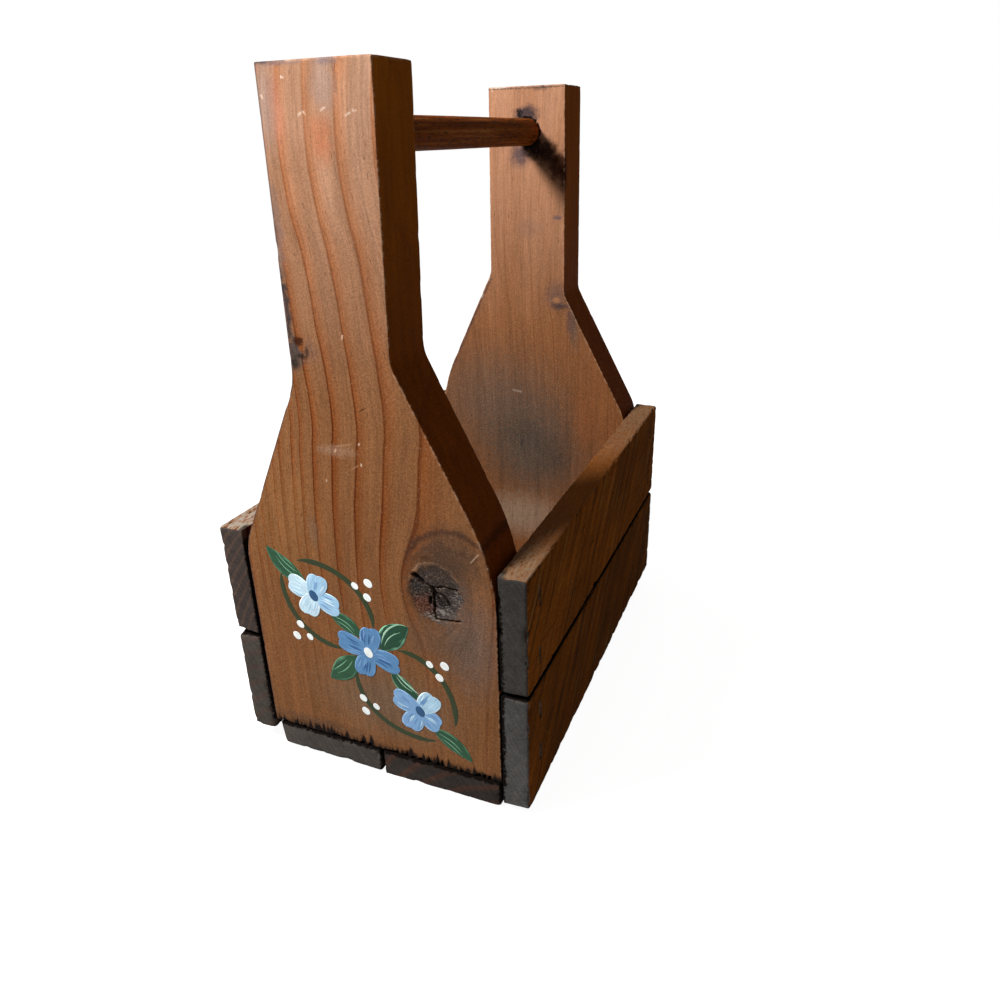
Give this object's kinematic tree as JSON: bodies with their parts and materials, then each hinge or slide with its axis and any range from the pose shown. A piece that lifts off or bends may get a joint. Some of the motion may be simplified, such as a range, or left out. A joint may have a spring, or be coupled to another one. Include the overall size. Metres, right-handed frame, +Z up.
{
  "type": "wooden tool tote",
  "caption": "Small open wooden tote: shouldered end boards, slatted sides and floor, and a dowel handle across the top.",
  "frame": {"origin": "centre of the underside of the floor slats", "axes": "+Z up, Y along the tote and the handle with the painted end board at -Y, +X to the right when the painted end is faced"},
  "size_m": [0.1032, 0.1566, 0.2074],
  "materials": {
    "end_board_wood": "stained softwood, worn satin",
    "slat_wood": "rough-sawn softwood, dark stain",
    "dowel_wood": "stained hardwood, worn satin",
    "staple_steel": "tarnished wire"
  },
  "bodies": {
    "root": {"front_end_board": "end_board_wood", "rear_end_board": "end_board_wood", "handle_dowel": "dowel_wood", "right_upper_slat": "slat_wood", "right_lower_slat": "slat_wood", "left_upper_slat": "slat_wood", "left_lower_slat": "slat_wood", "right_floor_slat": "slat_wood", "left_floor_slat": "slat_wood", "right_upper_slat_front_staples": "staple_steel", "right_upper_slat_rear_staples": "staple_steel", "right_lower_slat_front_staples": "staple_steel", "right_lower_slat_rear_staples": "staple_steel", "left_upper_slat_front_staples": "staple_steel", "left_upper_slat_rear_staples": "staple_steel", "left_lower_slat_front_staples": "staple_steel", "left_lower_slat_rear_staples": "staple_steel", "right_floor_slat_front_staples": "staple_steel", "right_floor_slat_rear_staples": "staple_steel", "left_floor_slat_front_staples": "staple_steel", "left_floor_slat_rear_staples": "staple_steel"}
  },
  "joints": []
}
